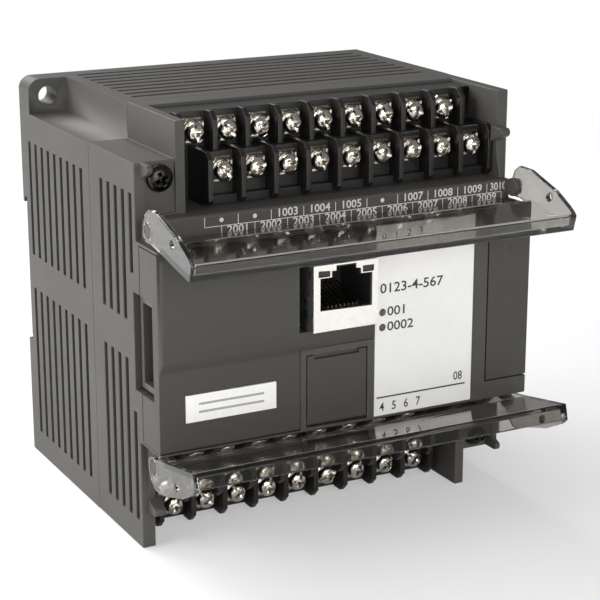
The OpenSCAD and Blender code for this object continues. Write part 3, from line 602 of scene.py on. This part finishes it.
def spring_ring(bm, inner, outer, thick, bottom, rise, turns=34):
    """A split ring under the head, climbing from one side of its gap to the other."""
    rings = []
    for k in range(turns + 1):
        angle, low = math.radians(12 + 336 * k / turns), bottom + rise * k / turns
        section = ((inner, low), (outer, low), (outer, low + thick), (inner, low + thick))
        ring = [Vector((r * math.cos(angle), r * math.sin(angle), h)) * MM for r, h in section]
        rings.append([bm.verts.new(point) for point in ring])
    for a, b in zip(rings, rings[1:]):
        for k in range(4):
            j = (k + 1) % 4
            bm.faces.new((a[k], a[j], b[j], b[k]))
    bm.faces.new(rings[0][::-1])
    bm.faces.new(rings[-1])


bm = bmesh.new()
bent_sheet(bm, 4.8, 5.2, 2.4, 0.7)
spring_ring(bm, 1.6, 2.2, 0.42, 0.78, 0.22)
bmesh.ops.recalc_face_normals(bm, faces=bm.faces)
clamp_pattern = point_out(from_bmesh(bm, "clamp_pattern", nickel))
clamp_pattern.data.shade_smooth()
clamp_pattern.data.set_sharp_from_angle(angle=math.radians(30))

# One end's two rows of terminals: on each a screw turned at random and a clamp with some play.
rows = bpy.data.node_groups.new("Terminal Screw Rows", "GeometryNodeTree")
for label, kind in (
    ("Rear Start", "NodeSocketVector"),
    ("Front Start", "NodeSocketVector"),
    ("Pitch", "NodeSocketVector"),
    ("Screws", "NodeSocketInt"),
    ("Seed", "NodeSocketInt"),
    ("Screw", "NodeSocketObject"),
    ("Clamp", "NodeSocketObject"),
    ("Clamp Play", "NodeSocketFloat"),
    ("Finish", "NodeSocketMaterial"),
):
    rows.interface.new_socket(name=label, in_out="INPUT", socket_type=kind)
rows.interface.new_socket(name="Geometry", in_out="OUTPUT", socket_type="NodeSocketGeometry")
given, result = rows.nodes.new("NodeGroupInput").outputs, rows.nodes.new("NodeGroupOutput")
screw_info = add(rows, "GeometryNodeObjectInfo", [(given["Screw"], "Object")])
clamp_info = add(rows, "GeometryNodeObjectInfo", [(given["Clamp"], "Object")])
together = add(rows, "GeometryNodeJoinGeometry")
for row_start, seed_step in (("Rear Start", 0), ("Front Start", 40)):
    line = add(rows, "GeometryNodeMeshLine", mode="OFFSET")
    fill(rows, line, Count=given["Screws"], Start_Location=given[row_start], Offset=given["Pitch"])
    seed = combine(rows, "ADD", given["Seed"], seed_step)
    spin = add(rows, "FunctionNodeRandomValue", [(seed, "Seed")], data_type="FLOAT")
    spin.inputs[2].default_value, spin.inputs[3].default_value = 0.0, 6.2832
    back_play = combine(rows, "MULTIPLY", given["Clamp Play"], -1.0)
    lean = add(rows, "FunctionNodeRandomValue", [(seed, "Seed"), (back_play, 2), (given["Clamp Play"], 3)],
               data_type="FLOAT")
    for info, angle in ((screw_info, spin), (clamp_info, lean)):
        about = add(rows, "ShaderNodeCombineXYZ", [(angle.outputs[1], 1)])
        placed = fill(rows, add(rows, "GeometryNodeInstanceOnPoints"), Points=line.outputs[0],
                      Instance=info.outputs["Geometry"], Rotation=about.outputs[0])
        rows.links.new(placed.outputs[0], together.inputs[0])
real = add(rows, "GeometryNodeRealizeInstances", [(together.outputs[0], 0)])
painted = add(rows, "GeometryNodeSetMaterial")
fill(rows, painted, Geometry=real.outputs[0], Material=given["Finish"])
rows.links.new(painted.outputs[0], result.inputs[0])


def grown(name, tree, **values):
    """A plain mesh made by a node tree with these inputs."""
    host = bpy.data.objects.new(name, bpy.data.meshes.new(name))
    bpy.context.scene.collection.objects.link(host)
    modifier = host.modifiers.new("tree", "NODES")
    modifier.node_group = tree
    sockets = {}
    for item in tree.interface.items_tree:
        if item.item_type == "SOCKET" and item.in_out == "INPUT":
            sockets[item.name] = item.identifier
    for key, value in values.items():
        modifier[sockets[key.replace("_", " ")]] = value
    host.update_tag()
    bpy.context.view_layer.update()
    mesh = evaluated_mesh(host)
    bpy.data.objects.remove(host)
    piece = bpy.data.objects.new(name, mesh)
    bpy.context.scene.collection.objects.link(piece)
    return piece


def end_at(turn, x, depth, drop):
    """A point this far below the casing's top edge (turn 1), or its half-turn copy above the
    base (turn -1)."""
    return at(turn * x, depth, ROW_HEIGHT + turn * (ROW_HEIGHT - drop))


first, pitch = -28.3, 7.9
rear_depth, rear_drop = 60.05, 4.9
front_depth, front_drop = 66.05, 12.6
for end, turn, seed in (("upper", 1, 4), ("lower", -1, 11)):
    screws = grown(
        end + "_screws_and_clamps", rows,
        Rear_Start=end_at(turn, first, rear_depth, rear_drop),
        Front_Start=end_at(turn, first + pitch / 2, front_depth, front_drop),
        Pitch=Vector((turn * pitch * MM, 0, 0)), Screws=9, Seed=seed,
        Screw=screw_pattern, Clamp=clamp_pattern, Clamp_Play=0.16, Finish=nickel,
    )
    keep(screws, "casing", "terminal_nickel", end + "_terminal_screws", end + "_terminal_washers")
bpy.data.objects.remove(screw_pattern)
bpy.data.objects.remove(clamp_pattern)

# ---------------------------------------------------------- printed numbering
# Pad-printed rules and numbers on the upright faces of the two shelves, a comb of divisions
# for each row of terminals. A dot stands for a terminal that isn't used.

strip_front, strip_edge = 75.012, 27.5  # the strip's face, and its outer edge from mid height
line_thick, comb_rule, comb_tooth = 0.15, 2.75, 2.2
row_a, row_b = 1.5, 3.85                # the two lines of numbers, from the strip's outer edge


def on_strip(turn, x, inwards):
    """A point on the upper (turn 1) or the lower strip, by its distance from the outer edge."""
    return at(x, strip_front, ROW_HEIGHT + turn * (strip_edge - inwards))


def comb(bm, turn, start):
    """A rule along the strip, with teeth between the terminals of each row."""
    bar(bm, on_strip(turn, start + pitch * 4.25, comb_rule), pitch * 9.5, line_thick)
    for k in range(10):
        outer = on_strip(turn, start + pitch * (k - 0.5), comb_rule - comb_tooth * 0.5)
        inner = on_strip(turn, start + pitch * k, comb_rule + comb_tooth * 0.45)
        bar(bm, outer, line_thick, comb_tooth)
        bar(bm, inner, line_thick, comb_tooth * 0.9)


def figures(bm, number, turn, x, inwards, squeeze=1.06):
    digits(bm, str(number), on_strip(turn, x, inwards), 1.75, squeeze)


def dot(bm, centre):
    for v in bmesh.ops.create_circle(bm, cap_ends=True, segments=20, radius=0.5 * MM)["verts"]:
        v.co = centre + Vector((v.co.x, -0.012 * MM, v.co.y))


prints = bmesh.new()
comb(prints, 1, first)
for k in range(9):
    if k in (0, 1, 5):
        dot(prints, on_strip(1, first + pitch * k, 1.45))
    else:
        figures(prints, 1001 + k, 1, first + pitch * k, row_a)
    figures(prints, 2001 + k, 1, first + pitch * (k + 0.5), row_b)
figures(prints, 3010, 1, 41.9, row_a, 0.9)
keep(from_bmesh(prints, "upper_strip_numbers", pale_ink), "casing", "casing_plastic")
prints = bmesh.new()
lower_first = -first - pitch * 8
comb(prints, -1, lower_first)
for k in range(9):
    figures(prints, 3001 + k, -1, lower_first + pitch * k, row_a)
    figures(prints, 4001 + k, -1, lower_first + pitch * (k - 0.5), row_b)
keep(from_bmesh(prints, "lower_strip_numbers", pale_ink), "casing", "casing_plastic")

# --------------------------------------------------------------- smoked covers
# Two clear smoke-tinted polycarbonate covers, moulded in one piece with their end plates.
# They snap onto the hinge pins, and are polished like glass with a few fine handling marks.

smoke, tree, shader = start("smoked_polycarbonate")
spot = own_place(tree)
handled = noise(tree, spot, 160.0, 5.0, 0.6)
tint = blend_colour(tree, ramp(tree, handled, 0.3, 0.7), rgb(0.52, 0.50, 0.472), rgb(0.47, 0.452, 0.425))
fill(tree, shader, Base_Color=tint, Roughness=ramp(tree, handled, 0.45, 0.75, 0.03, 0.12),
     Transmission_Weight=1.0, IOR=1.55)
bumped(tree, shader, noise(tree, spot, 90.0, 2.0), 0.03, 0.00005)
clear = fill(tree, add(tree, "ShaderNodeBsdfTransparent"), Color=rgb(0.50, 0.48, 0.455))
shadow = add(tree, "ShaderNodeLightPath").outputs["Is Shadow Ray"]
through = add(tree, "ShaderNodeMixShader", [(shadow, 0), (shader.outputs[0], 1), (clear.outputs[0], 2)])
tree.links.new(through.outputs[0], tree.nodes["Material Output"].inputs["Surface"])
for end in ("upper", "lower"):
    softened(end + "_cover", end + "_smoked_cover", smoke, 0.28, segments=3, body=end + "_cover",
             slot="smoked_clear")

# -------------------------------------------------------------- network socket
# A folded nickel-silver shell with its stepped plug opening and two lamp windows, over a black
# insert that holds eight gilt spring wires. It is soldered to the front board and stands proud
# of the panel.

shell_metal = plated("socket_nickel", rgb(0.96, 0.935, 0.895), rgb(0.88, 0.85, 0.80), 0.24, 0.38, 0.18)
softened("jack_shell", "socket_shell", shell_metal, 0.12, slot="jack_nickel")


def plain_moulding(name, colour, pale, low, high):
    """A small moulding with the skin alone, without the painted edge highlight."""
    material, tree, shader = start(name)
    body = use(tree, skin, Colour=colour, Pale_Colour=pale, Grain=4200.0, Gloss_Low=low, Gloss_High=high)
    fill(tree, shader, Base_Color=body.outputs["Colour"], Roughness=body.outputs["Roughness"])
    bumped(tree, shader, body.outputs["Height"], 0.2, 0.00003)
    return material


black_insert = plain_moulding("socket_insert", rgb(0.012, 0.012, 0.012), rgb(0.03, 0.03, 0.03), 0.3, 0.45)
softened("jack_insert", "socket_insert_block", black_insert, 0.08, slot="connector_plastic")
gilt = plated("gilt_wire", rgb(0.42, 0.31, 0.13), rgb(0.26, 0.19, 0.08), 0.2, 0.32)
dress("jack_contacts", gilt)
black_lens = plain_moulding("socket_lamp_lens", rgb(0.018, 0.017, 0.015), rgb(0.05, 0.048, 0.044), 0.10, 0.2)
dress("jack_leds", black_lens)

# ------------------------------------------------------ bus socket and bus header
# The left side's window shows a grey moulded socket for the neighbouring module's plug, and
# under the cap on the right stands a boxed header with two rows of pins. The stack between
# the two boards is moulded in the same black nylon.

connector = plain_moulding("connector_nylon", rgb(0.030, 0.029, 0.027), rgb(0.060, 0.057, 0.053),
                           0.38, 0.52)
socket_grey = plain_moulding("bus_socket_nylon", rgb(0.070, 0.067, 0.062), rgb(0.095, 0.090, 0.084),
                             0.38, 0.52)
softened("bus_socket_left", "bus_socket", socket_grey, 0.12, slot="connector_plastic")
dress("bus_header_right", connector)
dress("board_link", connector)

# -------------------------------------------------- circuit boards and components
# Two glass-fibre boards with green solder mask over copper tracks, joined by a connector stack
# and held by zinc-plated screws. They carry converters, chips and sleeved capacitors.

mask_green, tree, shader = start("solder_mask")
spot = own_place(tree)
upright = fill(tree, add(tree, "ShaderNodeMapping"), Vector=spot, Rotation=(math.radians(90), 0, 0))
tracks = fill(tree, add(tree, "ShaderNodeTexBrick"), Vector=upright.outputs[0], Scale=300.0,
              Mortar_Size=0.12, Mortar_Smooth=0.1).outputs["Fac"]
weave = ramp(tree, noise(tree, spot, 1500.0, 2.0), 0.3, 0.7)
mixed = blend_colour(tree, weave, rgb(0.010, 0.055, 0.026), rgb(0.018, 0.085, 0.042))
tracked = blend_colour(tree, ramp(tree, tracks, 0.0, 1.0, 0.0, 0.7), mixed, rgb(0.05, 0.16, 0.07))
fill(tree, shader, Base_Color=tracked, Roughness=ramp(tree, weave, 0.0, 1.0, 0.22, 0.36))
bumped(tree, shader, tracks, 0.2, 0.00003)
for node in ("main_board", "front_board"):
    dress(node, mask_green)
epoxy = plain_moulding("chip_epoxy", rgb(0.018, 0.018, 0.019), rgb(0.045, 0.045, 0.046), 0.5, 0.65)
for node in ("dc_converter", "main_board_chips", "front_board_chips"):
    dress(node, epoxy)
sleeve = plain_moulding("capacitor_sleeve", rgb(0.016, 0.018, 0.030), rgb(0.040, 0.044, 0.065), 0.22, 0.34)
dress("capacitors", sleeve)
zinc = plated("zinc_plate", rgb(0.72, 0.70, 0.66), rgb(0.52, 0.50, 0.47), 0.24, 0.4)
for node in ("main_board_screws", "front_board_screws"):
    dress(node, zinc)

# --------------------------------------------------------------- setting switch
# A four-way slide switch on the front board behind the port door: a red moulded body with
# four white nylon sliders, each on its own slide.

switch_red = plain_moulding("switch_red", rgb(0.30, 0.016, 0.012), rgb(0.42, 0.035, 0.026), 0.32, 0.46)
softened("dip_switch", "setting_switch", switch_red, 0.12, slot="switch_red")
white_nylon = plain_moulding("slider_white", rgb(0.74, 0.72, 0.68), rgb(0.82, 0.80, 0.77), 0.34, 0.48)
for k in range(1, 5):
    slider = "dip_slider_%d" % k
    softened(slider, "setting_slider_%d" % k, white_nylon, 0.1, body=slider, slot="slider_white")

# ---------------------------------------------------------------- casing screws
# Two long self-tapping screws in black oxide, with domed heads and a deep cross recess, one
# beside each terminal recess on opposite corners.

oxide, tree, shader = start("black_oxide")
cloud = noise(tree, own_place(tree), 800.0, 4.0)
dusty = blend_colour(tree, ramp(tree, cloud, 0.35, 0.7), rgb(0.022, 0.021, 0.020), rgb(0.06, 0.057, 0.053))
fill(tree, shader, Base_Color=dusty, Roughness=ramp(tree, cloud, 0.3, 0.7, 0.18, 0.34), Metallic=1.0)
bumped(tree, shader, cloud, 0.15, 0.00002)
long_profile = [
    (0, -32.1), (0.9, -32.1), (1.45, -31.0), (1.45, 0.0), (2.85, 0.0), (3.0, 0.15), (2.98, 0.7),
    (2.75, 1.2), (2.2, 1.65), (1.3, 1.92), (0, 2.0),
]
seat_x, seat_depth, seat_drop = -40.5, 70.2, 12.0
for name, turn, spin, nodes in (
    ("casing_screw_upper", 1, 25, ["casing_screws"]),
    ("casing_screw_lower", -1, 70, []),
):
    screw = cut_head(long_profile, [cross_punch(1.9, 0.46, 0.45, 2.0)], name)
    screw.data.transform(Matrix.Rotation(math.radians(spin), 4, "Z"))
    point_out(screw)
    screw.data.transform(Matrix.Translation(end_at(turn, seat_x, seat_depth, seat_drop)))
    paint(screw, oxide)
    keep(screw, "casing", "black_steel", *nodes)

# ------------------------------------------------------------------- rail latch
# The black acetal latch that hooks under the mounting rail. It slides in a channel in the
# casing's back, and a slot near its end takes a screwdriver.

latch_skin = plain_moulding("latch_acetal", rgb(0.030, 0.029, 0.028), rgb(0.055, 0.053, 0.050), 0.3, 0.42)
softened("rail_latch", "rail_latch_slide", latch_skin, 0.15, body="rail_latch", slot="latch_plastic")

# ----------------------------------------------------------- floor, light, camera
# A plain pale floor that fades to white, a large soft light from the left, one above and
# behind the casing, and a weak fill from the front.

for material in list(bpy.data.materials):
    if not material.users:
        bpy.data.materials.remove(material)

plain, tree, shader = start("studio_floor")
spot = own_place(tree)
cloud = noise(tree, spot, 3.0, 3.0)
fill(tree, shader, Base_Color=blend_colour(tree, cloud, rgb(0.86, 0.86, 0.86), rgb(0.88, 0.88, 0.88)),
     Roughness=0.8)
far = add(tree, "ShaderNodeVectorMath", [(spot, 0)], operation="LENGTH").outputs["Value"]
glow = fill(tree, add(tree, "ShaderNodeEmission"), Color=rgb(1, 1, 1))
looked_at = combine(tree, "MULTIPLY", ramp(tree, far, 0.08, 0.5, 0.35, 1.0),
                    add(tree, "ShaderNodeLightPath").outputs["Is Camera Ray"])
fade = add(tree, "ShaderNodeMixShader", [(looked_at, 0), (shader.outputs[0], 1), (glow.outputs[0], 2)])
tree.links.new(fade.outputs[0], tree.nodes["Material Output"].inputs["Surface"])
floor_size, floor_z = 6.0, -0.0476
bm = bmesh.new()
for v in bmesh.ops.create_grid(bm, x_segments=1, y_segments=1, size=floor_size / 2)["verts"]:
    v.co.z = floor_z
floor = from_bmesh(bm, "studio_floor", plain)

world = bpy.data.worlds.new("studio")
bpy.context.scene.world = world
world.use_nodes = True
sky = world.node_tree
dim = fill(sky, sky.nodes["Background"], Color=rgb(1, 1, 1), Strength=0.26)
white = fill(sky, add(sky, "ShaderNodeBackground"), Color=rgb(1, 1, 1), Strength=1.0)
seen = add(sky, "ShaderNodeLightPath").outputs["Is Camera Ray"]
backdrop = add(sky, "ShaderNodeMixShader", [(seen, 0), (dim.outputs[0], 1), (white.outputs[0], 2)])
sky.links.new(backdrop.outputs[0], sky.nodes["World Output"].inputs[0])


def softbox(name, where, width, height, power):
    """A soft rectangular light aimed at the casing's middle."""
    lamp = bpy.data.lights.new(name, "AREA")
    lamp.shape, lamp.size, lamp.size_y, lamp.energy = "RECTANGLE", width, height, power
    holder = bpy.data.objects.new(name, lamp)
    bpy.context.scene.collection.objects.link(holder)
    holder.location = where
    holder.rotation_euler = (-Vector(where)).to_track_quat("-Z", "Y").to_euler()


softbox("key_left", (-0.85, 0.05, 0.28), 0.9, 0.9, 11.0)
softbox("top_back", (-0.2, 0.6, 0.6), 0.7, 0.6, 8.4)
softbox("front_soft", (-0.05, -0.95, 0.25), 0.7, 0.5, 5.6)

camera = bpy.data.objects.new("camera", bpy.data.cameras.new("camera"))
bpy.context.scene.collection.objects.link(camera)
camera.data.lens, camera.data.sensor_width = 108.3, 36.0
camera.data.clip_start, camera.data.clip_end = 0.01, 20.0
camera.location = (-0.1867, -0.4106, 0.1170)
turn_right, tilt_down = math.radians(27.67), math.radians(16.25)
look = Vector((math.sin(turn_right) * math.cos(tilt_down), math.cos(turn_right) * math.cos(tilt_down),
               -math.sin(tilt_down)))
camera.rotation_euler = look.to_track_quat("-Z", "Y").to_euler()
bpy.context.scene.camera = camera
bpy.context.scene.view_settings.view_transform = "Standard"
bpy.context.scene.view_settings.look = "None"
